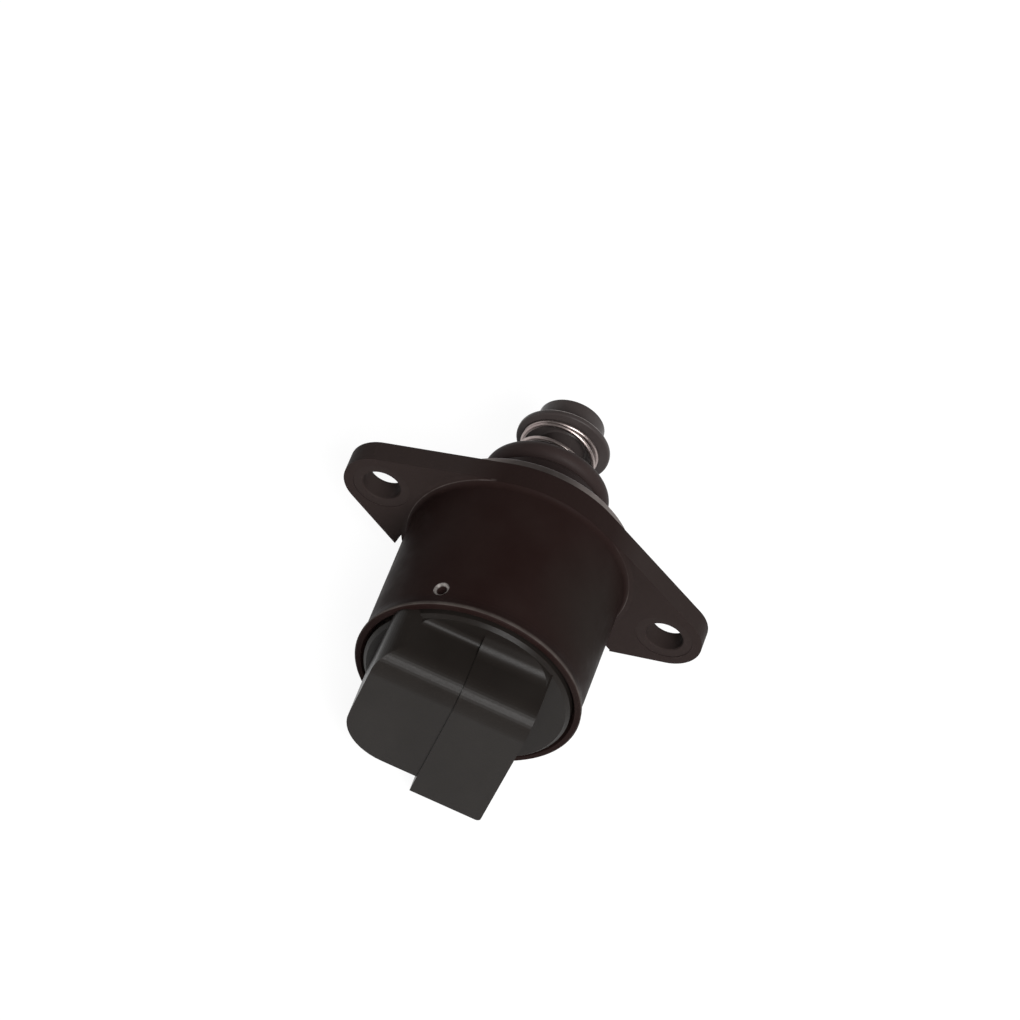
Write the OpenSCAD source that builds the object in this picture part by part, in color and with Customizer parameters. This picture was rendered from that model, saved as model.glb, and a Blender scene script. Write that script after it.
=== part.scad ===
// Idle air control valve: a stepper motor in a flanged can screws a pintle in and out.
// The mounting face lies in the plane Y = 0 and the pintle points along +Y.
// X runs from the short ear to the long ear, and Z stands square to both.

/* [Can and flange] */
// Outside diameter of the drawn can
can_d = 32; // [31:0.5:36]
// Thickness of the can's wall
can_wall = 1.0; // [0.8:0.1:1.2]
// Length of the can from the mounting face back to its rim
can_len = 26.9; // [25:0.1:34]
// How far the rolled rim stands out from the can
rim_out = 0.45; // [0.2:0.05:0.6]
// Height of the rolled rim along the can
rim_h = 0.9; // [0.7:0.1:1.4]
// Length over which the can flares out to its rim
rim_flare = 2.6; // [1.6:0.1:3.4]
// Thickness of the two-eared flange
flange_t = 3.3; // [2.5:0.1:4.5]
// How far the flange stands out past the can above the ears
flange_lip = 0.4; // [0.3:0.1:1.5]
// How far the flange stands out past the can under it
under_lip = 1.3; // [0.5:0.1:2]
// End radius of both ears
ear_r = 5.6; // [5:0.1:6.5]
// Bolt hole centre of the short ear, from the can's axis
short_ear = 21.9; // [21.5:0.1:26]
// Bolt hole centre of the long ear, from the can's axis
long_ear = 23.8; // [23:0.1:28]
// Diameter of the two bolt holes
bolt_hole_d = 5.5; // [5:0.1:6.6]
// Chamfer on the head side of the bolt holes
hole_chamfer = 0.15; // [0.1:0.05:0.5]
// Diameter of the spot faced round each hole for the bolt's head
spot_d = 8.4; // [7.6:0.1:9.4]
// Depth of that spot
spot_depth = 0.1; // [0.1:0.05:0.5]
// Foot of the short ear under the can, from its hole centre inward
short_foot = 6.4; // [5:0.1:7]
// Foot of the long ear under the can, from its hole centre inward
long_foot = 4.9; // [4:0.1:7]
// How far below the axis the flange is cut away
cut_low = 7.2; // [5:0.1:8]
// Sloping part of the long ear's foot, measured across
foot_run = 2.4; // [1:0.1:3]
// Height of that slope
foot_rise = 1.3; // [0.4:0.1:2]
// Radius of the blend between the can and the flange
blend_r = 1.2; // [0.6:0.1:2]
// Number of punched stakes that hold the end cap
stakes = 3; // [2:1:6]
// Mouth diameter of a punched stake
stake_d = 2.4; // [1.6:0.1:3]
// Turn of the first stake from the top of the can
stake_turn = -40.7; // [-60:0.1:0]
// Distance of the stakes from the rim
stake_back = 3.3; // [2.6:0.1:3.8]

/* [Front plate and nose] */
// Thickness of the front plate outside the can
plate_t = 1.8; // [0.8:0.1:2.2]
// How far the front plate laps over the can's edge
plate_lap = 0.5; // [0.3:0.1:0.6]
// Depth of the recess in the can's face that takes the front plate's edge
plate_seat = 0.3; // [0.2:0.1:0.8]
// Depth of the front plate's spigot inside the can
spigot_len = 1.5; // [1.2:0.1:2.5]
// Diameter of the nose behind the O-ring
nose_d = 17.8; // [17.4:0.1:19]
// Length of the nose in front of the plate
nose_len = 10.8; // [10:0.1:15]
// Section of the O-ring
oring_w = 3.0; // [2.4:0.1:3.2]
// Inside diameter of the O-ring, and bottom of its groove
oring_bore = 12.8; // [12.4:0.1:13.4]
// Thickness of the lip in front of the O-ring
lip_t = 0.8; // [0.6:0.1:1.2]
// Diameter of that lip
lip_d = 14.6; // [14.2:0.1:15.4]
// Outside diameter of the guide bush in the nose
guide_d = 9.6; // [9:0.1:10]
// Length of the guide bush
guide_len = 5.5; // [4:0.1:6]

/* [Front bearing] */
// Bore of the ball bearing
bearing_bore = 7; // [6.8:0.1:7.2]
// Outside diameter of the ball bearing
bearing_od = 14; // [13.6:0.1:14.2]
// Width of the ball bearing
bearing_w = 3.5; // [3:0.1:4]
// Diameter of its balls
ball_d = 2.0; // [1.6:0.1:2.2]
// Number of balls
balls = 9; // [7:1:11]
// Width of the cage past the balls on each side
cage_lip = 0.35; // [0.25:0.05:0.4]

/* [Rotor and lead screw] */
// Diameter of the ring magnet
magnet_d = 14.4; // [13.4:0.1:15]
// Diameter of the hub inside the magnet
hub_d = 9.6; // [9:0.1:10.4]
// Space between each end of the magnet and the stator's ends
magnet_end = 0.8; // [0.5:0.1:1.4]
// Outside diameter of the brass drive nut
nut_d = 7.6; // [7:0.1:8.2]
// Length of the drive nut
nut_len = 7.0; // [5:0.1:7.4]
// Diameter of the lead screw
screw_d = 5.0; // [4.6:0.1:5.2]
// Width across the two flats that stop the screw from turning
flats_w = 4.0; // [3.6:0.1:4.2]
// Length of thread behind the flats
thread_len = 11.5; // [10:0.1:12]
// Diameter of the rotor's rear journal
journal_d = 4.0; // [3.4:0.1:4.6]
// Length of the rotor's rear journal
journal_len = 3.2; // [2.6:0.1:3.6]

/* [Stator] */
// Gap between the magnet and the pole claws
air_gap = 0.35; // [0.25:0.05:0.5]
// Thickness of the pole plates
pole_t = 1.0; // [0.8:0.1:1.2]
// Thickness of the claws bent out of them
claw_t = 0.8; // [0.6:0.1:1]
// Claws on each pole plate
claws = 6; // [4:1:6]
// Width of a claw at its root
claw_root = 3.2; // [2.6:0.1:3.4]
// Width of a claw at its tip
claw_tip = 1.8; // [1.4:0.1:2]
// Space between a claw's tip and the plate opposite
claw_gap = 0.8; // [0.6:0.1:1.4]
// Wall of the bobbins
bobbin_wall = 0.7; // [0.6:0.1:1]
// How far the windings stay below the bobbin's edge
coil_low = 0.8; // [0.6:0.1:1.4]
// Thickness of the terminal board behind the stator
board_t = 1.2; // [1:0.1:1.6]
// Clearance round the board, in the can and round the rear bush
board_gap = 0.4; // [0.2:0.1:0.6]

/* [Pintle] */
// Diameter of the collar that the spring bears on
collar_d = 14; // [13.6:0.1:15]
// Thickness of the collar
collar_t = 2.5; // [2:0.05:3]
// Edge radius of the collar on the spring's side
collar_back_r = 0.7; // [0.4:0.1:1]
// Edge radius of the collar on the tip's side
collar_front_r = 0.5; // [0.3:0.1:0.8]
// Space between the nose and the collar in the position shown
collar_out = 4.5; // [4.3:0.1:9]
// Depth of the spring seat in the collar
seat_depth = 0.5; // [0.3:0.1:0.8]
// Diameter of the tip
tip_d = 9.9; // [8.6:0.1:10.4]
// Length of the tip in front of the collar
tip_len = 4.0; // [3.6:0.05:6]
// Edge radius of the tip
tip_round = 0.3; // [0.2:0.1:1.6]
// Diameter of the boss behind the collar
boss_d = 6.8; // [6.2:0.1:7.4]
// Length of the boss behind the collar
boss_len = 2.1; // [1.6:0.1:2.6]
// Depth to which the screw is pressed into the pintle
press_depth = 5.0; // [4:0.1:6]

/* [Spring] */
// Wire diameter of the spring
wire_d = 0.8; // [0.6:0.1:1]
// Mean diameter of the spring
spring_d = 11.5; // [11:0.1:12]
// Turns of the spring
spring_turns = 3; // [3:0.25:4]

/* [End cap] */
// Depth to which the cap enters the can
cap_in = 5.0; // [4.4:0.1:5.6]
// How far the cap stands out behind the rim
cap_out = 0.8; // [0.5:0.1:1.6]
// Edge radius of the cap's face
cap_round = 0.5; // [0.3:0.1:0.5]
// Outside diameter of the rear bush
bush_d = 7.6; // [7:0.1:8.4]
// Thickness of the thrust washer
washer_t = 0.4; // [0.3:0.05:0.6]

/* [Connector] */
// Turn of the connector about the can's axis
plug_turn = 6.2; // [0:0.1:15]
// Depth of the connector block behind the cap
block_d = 9.3; // [9:0.1:12]
// Closed end of the block, from the can's axis
block_end = 13.4; // [12:0.1:14]
// Where the shroud starts, measured back from the can's axis
seam_x = 1.0; // [0.4:0.1:1.4]
// Mouth of the shroud, from the can's axis
mouth_x = 9.7; // [9.5:0.1:12]
// Top of the block, from the can's axis
block_top = 11.0; // [10.6:0.1:11.4]
// Underside of the closed base, from the can's axis
base_low = 10.8; // [10.4:0.1:11.4]
// Underside of the shroud, from the can's axis
shroud_low = 14.1; // [13.6:0.1:16]
// Radius of the block's upper back edge
back_r = 4.0; // [2:0.1:4.6]
// Corner radius at the lower closed end
foot_r = 7.0; // [4:0.1:8]
// Corner radius at the upper closed end
head_r = 3.0; // [2:0.1:4]
// How far the shroud stands proud of the base at the back
shroud_up = 0.3; // [0.2:0.1:0.6]
// How far the shroud stands above the base on top
shroud_top = 0.2; // [0.1:0.1:0.4]
// Corner radius of the shroud at the lower end of its mouth
mouth_r = 0.7; // [0.3:0.1:1.2]
// Blend between the shroud's top and the cap
shroud_blend = 2.6; // [1:0.1:3.2]
// Blend between the base's top and the cap
base_blend = 1.2; // [0.6:0.1:2]
// Wall of the shroud
shroud_wall = 1.3; // [1:0.1:1.6]
// Floor of the socket, past the seam
socket_floor = 1.6; // [1.2:0.1:2.2]
// Radius of the socket's upper back corner
socket_r = 1.5; // [0.5:0.1:2]
// Height of the key ribs in the socket
key_h = 0.9; // [0.6:0.1:1.2]
// Height of the catch under the shroud
catch_h = 0.9; // [0.6:0.1:1.2]
// Length of the catch along the shroud
catch_l = 3.8; // [3:0.1:4.4]
// Width of the catch
catch_w = 3.2; // [2.4:0.1:4]
// Distance of the catch from the mouth
catch_in = 3.4; // [2.6:0.1:4]
// Spacing of the four blades
blade_pitch = 3.9; // [3.6:0.1:4.6]
// Width of a blade
blade_w = 1.5; // [1.2:0.1:2]
// Thickness of a blade
blade_t = 0.8; // [0.6:0.1:1]
// Space between the blades' legs and the rear bush
leg_gap = 0.9; // [0.8:0.1:1.2]
// How far the blades stop short of the mouth
blade_in = 1.6; // [1.2:0.1:2.4]

/* [Fits] */
// Clearance all round between pieces that seat in each other
fit = 0.02; // [0.01:0.01:0.03]
// Radial clearance of what turns or slides
run = 0.05; // [0.04:0.01:0.08]

/* [Hidden] */

// Radii of the can, its bore and the flange
can_r = can_d / 2;
bore_r = can_r - can_wall;
waist_r = can_r + flange_lip;
spot_y = -flange_t + spot_depth;
lap_r = bore_r + plate_lap;
// The stator fills the bore between the front plate and the terminal board
stack_front = -spigot_len;
stack_len = (can_len - spigot_len - cap_in - board_t) / 2;
bobbin_len = stack_len - 2 * pole_t;
board_front = stack_front - 2 * stack_len;
cap_front = board_front - board_t;
cap_back = -can_len - cap_out;
stator_r = bore_r - fit;
claw_in = magnet_d / 2 + air_gap;
claw_out = claw_in + claw_t;
bobbin_in = claw_out + fit;
coil_in = bobbin_in + bobbin_wall;
bobbin_out = stator_r - fit;
coil_out = bobbin_out - coil_low;
// The nose stands on the plate, and the bearing sits inside it
nose_back = plate_t;
nose_front = plate_t + nose_len;
groove_w = oring_w + 2 * run;
groove_front = nose_front - lip_t;
groove_back = groove_front - groove_w;
bearing_r = bearing_od / 2;
bearing_back = stack_front + 0.2;
bearing_front = bearing_back + bearing_w;
ball_r = ball_d / 2;
pitch_r = (bearing_bore + bearing_od) / 4;
race_t = (bearing_od - bearing_bore) / 4 - ball_r * 0.7;
spigot_r = bearing_r + 1.3;
guide_front = nose_front - lip_t;
guide_back = guide_front - guide_len;
// The magnet is centred on the two stator stacks
magnet_front = stack_front - magnet_end;
magnet_back = board_front + magnet_end;
screw_r = screw_d / 2;
nut_front = magnet_front - 1.2;
nut_back = nut_front - nut_len;
hub_back = board_front - 0.3;
washer_front = hub_back - run;
bush_front = washer_front - washer_t;
bush_back = hub_back - journal_len - 0.6;
// The pintle is pressed onto the front of the screw
collar_back = nose_front + collar_out;
collar_front = collar_back + collar_t;
tip_front = collar_front + tip_len;
boss_back = collar_back - boss_len;
screw_front = boss_back + press_depth;
flats_front = boss_back - 0.2;
flats_back = -1.5;
seat_r = spring_d / 2 + wire_d / 2 + 0.15;
// The connector's outline in its own turned frame
shroud_back = cap_back - block_d - shroud_up;
base_back = cap_back - block_d;
base_top = block_top - shroud_top;
socket_x = -seam_x + socket_floor;
socket_front = cap_back - shroud_wall;
socket_back = shroud_back + shroud_wall;
socket_top = block_top - shroud_wall;
socket_low = -shroud_low + shroud_wall;
blade_y = (socket_front + socket_back) / 2;
blade_z = (socket_top + socket_low) / 2;
leg_x = -bush_d / 2 - leg_gap - blade_t / 2;

// Turned work: profiles are drawn as [radius, distance along Y].
module turned(n = 96) {
    rotate([-90, 0, 0]) rotate_extrude($fn = n) children();
}

// A ring between two radii and two stations on the axis
module ring(r_in, r_out, y0, y1) {
    turned() translate([r_in, y0]) square([r_out - r_in, y1 - y0]);
}

// A plate whose outline is drawn in X and Z, from y down to y - t
module plate(y, t) {
    translate([0, y, 0]) rotate([90, 0, 0]) linear_extrude(t) children();
}

// The flange seen from behind: a waist with two ears, cut away under the can
module flange_outline() {
    difference() {
        hull() {
            circle(r = waist_r, $fn = 96);
            translate([-short_ear, 0]) circle(r = ear_r, $fn = 64);
            translate([long_ear, 0]) circle(r = ear_r, $fn = 64);
        }
        polygon([[-short_ear + short_foot, -2 * can_r], [-short_ear + short_foot, -cut_low],
            [long_ear - long_foot - foot_run, -cut_low],
            [long_ear - long_foot, -cut_low - foot_rise], [long_ear - long_foot, -2 * can_r]]);
    }
    circle(r = can_r, $fn = 96);
    intersection() {
        circle(r = can_r + under_lip, $fn = 96);
        translate([-2 * can_r, -2 * can_r]) square([4 * can_r, 2 * can_r]);
    }
}

module at_holes() {
    for (x = [-short_ear, long_ear]) translate([x, 0, 0]) children();
}

// A stake is a cone punched from outside, with its bump inside the wall
module stake_bump() {
    translate([0, 0, bore_r - 0.45]) cylinder(r1 = 0.5, r2 = 1.1, h = 0.5, $fn = 32);
}

module at_stakes() {
    for (i = [0 : stakes - 1]) rotate([0, stake_turn + i * 360 / stakes, 0])
        translate([0, -can_len + stake_back, 0]) children();
}

// Can, flange and rolled rim are one drawn and machined piece
module can_housing() {
    color("#2a2523") difference() {
        union() {
            turned() polygon([[bore_r - 0.2, 0], [can_r, 0], [can_r, -can_len + rim_flare],
                [can_r + rim_out * 0.12, -can_len + rim_flare * 0.75],
                [can_r + rim_out * 0.45, -can_len + rim_flare * 0.5],
                [can_r + rim_out * 0.85, -can_len + rim_flare * 0.28],
                [can_r + rim_out, -can_len + 0.25],
                [can_r + rim_out - 0.25, -can_len], [bore_r - 0.2, -can_len]]);
            plate(0, flange_t) flange_outline();
            intersection() {
                plate(0, flange_t + blend_r) flange_outline();
                turned() difference() {
                    translate([can_r - 0.3, -flange_t - blend_r]) square([blend_r + 0.3, blend_r + 0.3]);
                    translate([can_r + blend_r, -flange_t - blend_r]) circle(r = blend_r, $fn = 48);
                }
            }
        }
        // through bore, with the front plate's seat, opened out under the rim
        turned() polygon([[0, 1], [lap_r + fit, 1], [lap_r + fit, -plate_seat],
            [bore_r, -plate_seat], [bore_r, -can_len + rim_h],
            [bore_r + 0.55, -can_len - 0.01], [bore_r + 0.55, -can_len - 1], [0, -can_len - 1]]);
        at_holes() {
            rotate([90, 0, 0]) translate([0, 0, -1])
                cylinder(d = bolt_hole_d, h = flange_t + 2, $fn = 64);
            translate([0, spot_y + hole_chamfer, 0]) rotate([90, 0, 0])
                cylinder(d1 = bolt_hole_d, d2 = bolt_hole_d + 2 * hole_chamfer,
                    h = hole_chamfer, $fn = 64);
            translate([0, spot_y, 0]) rotate([90, 0, 0])
                cylinder(d = spot_d, h = flange_t, $fn = 64);
        }
        at_stakes() translate([0, 0, can_r - 0.6])
            cylinder(r1 = 0.4, r2 = stake_d / 2 + 0.1, h = 0.7, $fn = 32);
    }
    color("#2a2523") difference() {
        at_stakes() stake_bump();
        at_stakes() translate([0, 0, can_r - 0.6])
            cylinder(r1 = 0.4, r2 = stake_d / 2 + 0.1, h = 0.7, $fn = 32);
    }
}

// Steel disc that closes the can and carries the nose
module front_plate() {
    color("#b9b6b0") turned() polygon([[spigot_r + fit, plate_t],
        [lap_r - 0.2, plate_t], [lap_r, plate_t - 0.2],
        [lap_r, -plate_seat], [bore_r - fit, -plate_seat],
        [bore_r - fit, stack_front], [spigot_r + fit, stack_front]]);
}

// Moulded nose: bearing housing behind, O-ring groove and spring seat in front
module pilot_nose() {
    color("#262423") turned() polygon([[bearing_r + fit, stack_front],
        [spigot_r, stack_front], [spigot_r, nose_back], [nose_d / 2, nose_back],
        [nose_d / 2, groove_back - 0.5], [nose_d / 2 - 0.5, groove_back],
        [oring_bore / 2, groove_back], [oring_bore / 2, groove_front],
        [lip_d / 2, groove_front], [lip_d / 2, nose_front - 0.3], [lip_d / 2 - 0.3, nose_front],
        [screw_r + 0.6, nose_front], [screw_r + 0.6, guide_front],
        [guide_d / 2 + fit, guide_front], [guide_d / 2 + fit, guide_back - 0.3],
        [bearing_r - 1.2, bearing_front + 0.3], [bearing_r - 1.2, bearing_front],
        [bearing_r + fit, bearing_front]]);
}

module nose_o_ring() {
    color("#151414") turned() translate([(oring_bore + oring_w) / 2 + fit, (groove_front + groove_back) / 2])
        circle(d = oring_w, $fn = 48);
}

// Outline of the screw where it carries its two flats
module flats_outline(extra = 0) {
    intersection() {
        circle(r = screw_r + extra, $fn = 64);
        square([flats_w + 2 * extra, screw_d + 1], center = true);
    }
}

// Bush with a two-flat hole, so that the screw can slide but not turn
module guide_bush() {
    color("#cfc8b4") plate(guide_front - fit, guide_len) difference() {
        circle(d = guide_d, $fn = 64);
        flats_outline(run);
    }
}

module race_groove(extra) {
    translate([pitch_r, (bearing_front + bearing_back) / 2]) circle(r = ball_r + extra, $fn = 48);
}

module bearing_outer_race() {
    color("#c9ccce") turned() difference() {
        translate([bearing_r - race_t, bearing_back]) square([race_t, bearing_w]);
        race_groove(fit);
    }
}

module bearing_inner_race() {
    color("#c9ccce") turned() difference() {
        translate([bearing_bore / 2, bearing_back]) square([race_t, bearing_w]);
        race_groove(run);
    }
}

module bearing_balls() {
    color("#d8dadb") for (i = [0 : balls - 1]) rotate([0, i * 360 / balls, 0])
        translate([pitch_r, (bearing_front + bearing_back) / 2, 0]) sphere(r = ball_r, $fn = 48);
}

// Pressed ribbon that spaces the balls
module bearing_cage() {
    color("#c2a15a") difference() {
        ring(pitch_r - 0.3, pitch_r + 0.3, (bearing_front + bearing_back) / 2 - ball_r - cage_lip,
            (bearing_front + bearing_back) / 2 + ball_r + cage_lip);
        for (i = [0 : balls - 1]) rotate([0, i * 360 / balls, 0])
            translate([pitch_r - 1, (bearing_front + bearing_back) / 2, 0]) rotate([0, 90, 0])
                cylinder(r = ball_r + run, h = 2, $fn = 48);
    }
}

module rotor_magnet() {
    color("#3b3b40") turned() polygon([[hub_d / 2 + fit, magnet_front],
        [magnet_d / 2 - 0.3, magnet_front], [magnet_d / 2, magnet_front - 0.3],
        [magnet_d / 2, magnet_back + 0.3], [magnet_d / 2 - 0.3, magnet_back],
        [hub_d / 2 + fit, magnet_back]]);
}

// Hub moulded round the nut: front journal, body and rear journal
module rotor_hub() {
    color("#e4dfd2") turned() polygon([[screw_r + 0.2, bearing_front + 0.2],
        [bearing_bore / 2 - fit, bearing_front + 0.2], [bearing_bore / 2 - fit, bearing_back],
        [hub_d / 2 - 0.4, bearing_back], [hub_d / 2, bearing_back - 0.4],
        [hub_d / 2, magnet_back - 0.4], [journal_d / 2 + 1.3, magnet_back - 0.8],
        [journal_d / 2 + 1.3, hub_back], [journal_d / 2, hub_back],
        [journal_d / 2, hub_back - journal_len], [0, hub_back - journal_len],
        [0, magnet_back + 1.6], [screw_r + 0.2, magnet_back + 1.6],
        [screw_r + 0.2, nut_back], [nut_d / 2 + fit, nut_back],
        [nut_d / 2 + fit, nut_front], [screw_r + 0.2, nut_front]]);
}

module drive_nut() {
    color("#b5a642") ring(screw_r + run, nut_d / 2, nut_back + fit, nut_front - fit);
}

// The screw is threaded behind, flattened in the middle and round at the press fit
module lead_screw() {
    color("#b4b6b8") {
        turned(64) polygon([[0, flats_back], [screw_r, flats_back],
            [screw_r, flats_back - thread_len + 0.5], [screw_r - 0.5, flats_back - thread_len],
            [0, flats_back - thread_len]]);
        plate(flats_front, flats_front - flats_back) flats_outline();
        turned(64) polygon([[0, flats_front], [flats_w / 2 - 0.1, flats_front],
            [flats_w / 2 - 0.1, screw_front - 0.3], [flats_w / 2 - 0.4, screw_front],
            [0, screw_front]]);
    }
}

// Points of a quarter round, from angle a on
function quarter(centre, r, a) = [for (i = [0 : 6]) centre + r * [cos(a + 15 * i), sin(a + 15 * i)]];

// Valve head: boss, collar with its spring seat, and round-edged tip
module pintle() {
    color("#232120") turned() difference() {
        polygon(concat([[0, boss_back], [boss_d / 2, boss_back], [boss_d / 2, collar_back]],
            quarter([collar_d / 2 - collar_back_r, collar_back + collar_back_r], collar_back_r, -90),
            quarter([collar_d / 2 - collar_front_r, collar_front - collar_front_r], collar_front_r, 0),
            [[tip_d / 2, collar_front + 0.3]],
            quarter([tip_d / 2 - tip_round, tip_front - tip_round], tip_round, 0),
            [[0, tip_front]]));
        translate([boss_d / 2, collar_back - 1]) square([seat_r - boss_d / 2, 1 + seat_depth]);
        translate([-1, boss_back - 1]) square([1 + flats_w / 2 - 0.1 + fit, press_depth + 1 + fit]);
    }
}

// Height of the spring's centreline after s turns: closed at both ends, open between
function coil_y(s) = let (closed = wire_d * 0.78,
        low = nose_front + wire_d / 2 + fit, high = collar_back + seat_depth - wire_d / 2 - fit,
        open = high - low - 1.5 * closed, u = (s - 0.75) / (spring_turns - 1.5))
    s < 0.75 ? low + closed * s
    : s > spring_turns - 0.75 ? high - closed * (spring_turns - s)
    : low + 0.75 * closed + open * u;

// Points round the wire at s turns
function coil_ring(s, n) = [for (k = [0 : n - 1]) let (a = 360 * k / n,
        r = spring_d / 2 + wire_d / 2 * cos(a), t = 360 * s - 150)
    [r * sin(t), coil_y(s) + wire_d / 2 * sin(a), r * cos(t)]];

module pintle_spring() {
    n = 8;
    steps = ceil(spring_turns * 24);
    pts = [for (i = [0 : steps]) each coil_ring(i * spring_turns / steps, n)];
    sides = [for (i = [0 : steps - 1], k = [0 : n - 1])
        [i * n + k, i * n + (k + 1) % n, (i + 1) * n + (k + 1) % n, (i + 1) * n + k]];
    ends = [[for (k = [n - 1 : -1 : 0]) k], [for (k = [0 : n - 1]) steps * n + k]];
    color("#cdbfb8") polyhedron(points = pts, faces = concat(sides, ends), convexity = 8);
}

// One claw: a tapered tongue cut from a tube, rooted at y = 0 and pointing along +Y
module claw(len) {
    intersection() {
        ring(claw_in, claw_out, -0.2, len);
        translate([0, 0, claw_in - 1]) linear_extrude(claw_t + 2)
            polygon([[-claw_root / 2, -0.3], [claw_root / 2, -0.3], [claw_root / 2, 0],
                [claw_tip / 2, len + 0.1], [-claw_tip / 2, len + 0.1], [-claw_root / 2, 0]]);
    }
}

// Pole plate with its claws; up is true where they point forward
module pole_plate(y_back, up, turn) {
    color("#8d8f91") rotate([0, turn, 0]) translate([0, y_back + (up ? 0 : pole_t), 0])
        mirror([0, up ? 0 : 1, 0]) {
            ring(claw_in, stator_r, 0, pole_t);
            for (i = [0 : claws - 1]) rotate([0, i * 360 / claws, 0])
                translate([0, pole_t, 0]) claw(bobbin_len - claw_gap);
        }
}

module front_pole_plate_a() {
    pole_plate(stack_front - pole_t, false, 0);
}

module front_pole_plate_b() {
    pole_plate(stack_front - stack_len, true, 180 / claws);
}

module rear_pole_plate_a() {
    pole_plate(stack_front - stack_len - pole_t, false, 90 / claws);
}

module rear_pole_plate_b() {
    pole_plate(board_front, true, 270 / claws);
}

// Spool for one phase
module bobbin(y_back) {
    color("#ece7da") turned() polygon([[bobbin_in, y_back + fit], [bobbin_out, y_back + fit],
        [bobbin_out, y_back + bobbin_wall], [coil_in, y_back + bobbin_wall],
        [coil_in, y_back + bobbin_len - bobbin_wall], [bobbin_out, y_back + bobbin_len - bobbin_wall],
        [bobbin_out, y_back + bobbin_len - fit], [bobbin_in, y_back + bobbin_len - fit]]);
}

module winding(y_back) {
    color("#b4632d") ring(coil_in + fit, coil_out, y_back + bobbin_wall + fit,
        y_back + bobbin_len - bobbin_wall - fit);
}

module front_bobbin() {
    bobbin(stack_front - stack_len + pole_t);
}

module rear_bobbin() {
    bobbin(board_front + pole_t);
}

module front_winding() {
    winding(stack_front - stack_len + pole_t);
}

module rear_winding() {
    winding(board_front + pole_t);
}

// Places a child in the connector's turned frame
module plug_frame() {
    rotate([0, -plug_turn, 0]) children();
}

// Slots for the blade legs, shared by the board and the cap
module leg_slots(y, t) {
    plug_frame() for (i = [-1.5 : 1 : 1.5])
        translate([leg_x - blade_t / 2 - fit, y - t, blade_z + i * blade_pitch - blade_w / 2 - fit])
            cube([blade_t + 2 * fit, t, blade_w + 2 * fit]);
}

module terminal_board() {
    color("#3f6b3c") difference() {
        ring(bush_d / 2 + board_gap, stator_r - board_gap, cap_front + fit, board_front - fit);
        leg_slots(board_front + 1, board_t + 2);
    }
}

module rear_bush() {
    color("#a98a4b") ring(journal_d / 2 + run, bush_d / 2, bush_back, bush_front);
}

module thrust_washer() {
    color("#c9ccce") ring(journal_d / 2 + run, bush_d / 2 - 0.3, bush_front + fit, washer_front);
}

// Outline of the closed base in the connector's frame, its free corners rounded
module base_outline() {
    hull() {
        translate([-block_end + head_r, base_top - head_r]) circle(r = head_r, $fn = 48);
        translate([-block_end + foot_r, -base_low + foot_r]) circle(r = foot_r, $fn = 48);
        translate([-seam_x, -base_low]) square([0.1, base_top + base_low]);
    }
}

// Outline of the shroud, its lower corner at the mouth rounded
module shroud_outline() {
    hull() {
        translate([-seam_x, -shroud_low]) square([0.1, block_top + shroud_low]);
        translate([mouth_x - 0.1, block_top - 0.1]) square(0.1);
        translate([mouth_x - mouth_r, -shroud_low + mouth_r]) circle(r = mouth_r, $fn = 32);
    }
}

// Side profile of a block, rounded with r along its upper back edge
module block_profile(back, front, low, top, r) {
    hull() {
        translate([front - 0.1, low]) square([0.1, top - low]);
        translate([back, low]) square([0.1, 0.1]);
        translate([back + r, top - r]) circle(r = r, $fn = 64);
    }
}

// Hollow corner between the top of a block and the cap's face
module blend_profile(top, r) {
    difference() {
        translate([cap_back - r, top - 0.3]) square([r + 0.3, r + 0.3]);
        translate([cap_back - r, top + r]) circle(r = r, $fn = 64);
    }
}

// Extrudes a profile drawn in Y and Z along X
module along_x(x0, x1) {
    translate([x0, 0, 0]) rotate([90, 0, 90]) linear_extrude(x1 - x0) children();
}

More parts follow.
